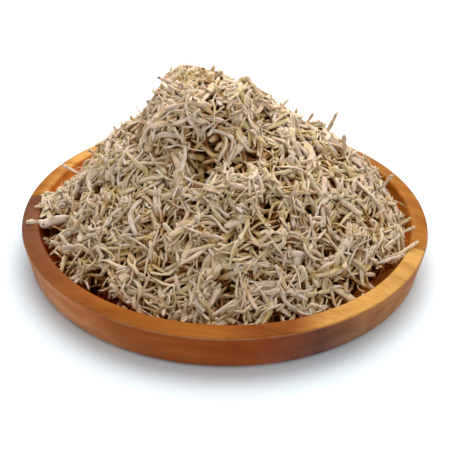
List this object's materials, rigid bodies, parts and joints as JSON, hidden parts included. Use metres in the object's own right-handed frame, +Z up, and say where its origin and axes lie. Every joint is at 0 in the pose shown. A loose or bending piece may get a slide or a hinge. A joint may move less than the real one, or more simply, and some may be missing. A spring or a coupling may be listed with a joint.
{
  "type": "dish of dried anchovies",
  "caption": "Round shallow wooden plate heaped high with small dried anchovies, the heap's blunt summit a little left of its middle.",
  "frame": {"origin": "middle of the plate's flat underside, on the surface that it stands on", "axes": "+Z up through the plate's axis; the side that the picture shows faces -Y, with +X to its right"},
  "size_m": [0.25, 0.25, 0.1242],
  "materials": {
    "plate": "oiled, satin",
    "anchovies": "dry, slightly silvery fish skin"
  },
  "bodies": {
    "root": {"plate": "plate", "anchovy_heap": "anchovies"}
  },
  "joints": []
}
